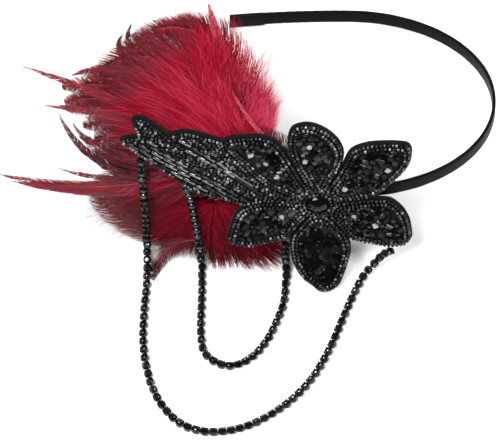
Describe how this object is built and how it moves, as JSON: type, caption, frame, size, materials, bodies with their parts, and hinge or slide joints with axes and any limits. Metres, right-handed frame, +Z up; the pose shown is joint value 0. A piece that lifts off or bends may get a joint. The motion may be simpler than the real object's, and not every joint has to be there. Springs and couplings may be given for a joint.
{
  "type": "flapper feather headband",
  "caption": "Black satin headband with a beaded felt flower and leaf, two swagged rhinestone chains and a fan of wine and crimson feathers.",
  "frame": {"origin": "on the table, at the middle of the footprint", "axes": "+Z up from the table, +X from the feather tips towards the band's crown, -Y towards the front of the flower"},
  "size_m": [0.244, 0.232, 0.1616],
  "materials": {
    "satin_ribbon": "satin",
    "felt": "matt felt",
    "seed_beads": "polished opaque black glass",
    "jet_stone": "faceted opaque black glass",
    "rhinestone_chain": "black-plated cups with faceted black stones",
    "wine_feather": "dyed cock hackle",
    "crimson_fluff": "dyed marabou"
  },
  "bodies": {
    "root": {"band": "satin_ribbon", "felt_backing": "felt", "petal_1": "seed_beads", "petal_2": "seed_beads", "petal_3": "seed_beads", "petal_4": "seed_beads", "petal_5": "seed_beads", "petal_6": "seed_beads", "center_stone": "jet_stone", "leaf_spray": "seed_beads", "hackle_plume": "wine_feather", "marabou_fluff": "crimson_fluff", "outer_chain": "rhinestone_chain", "inner_chain": "rhinestone_chain"}
  },
  "joints": []
}
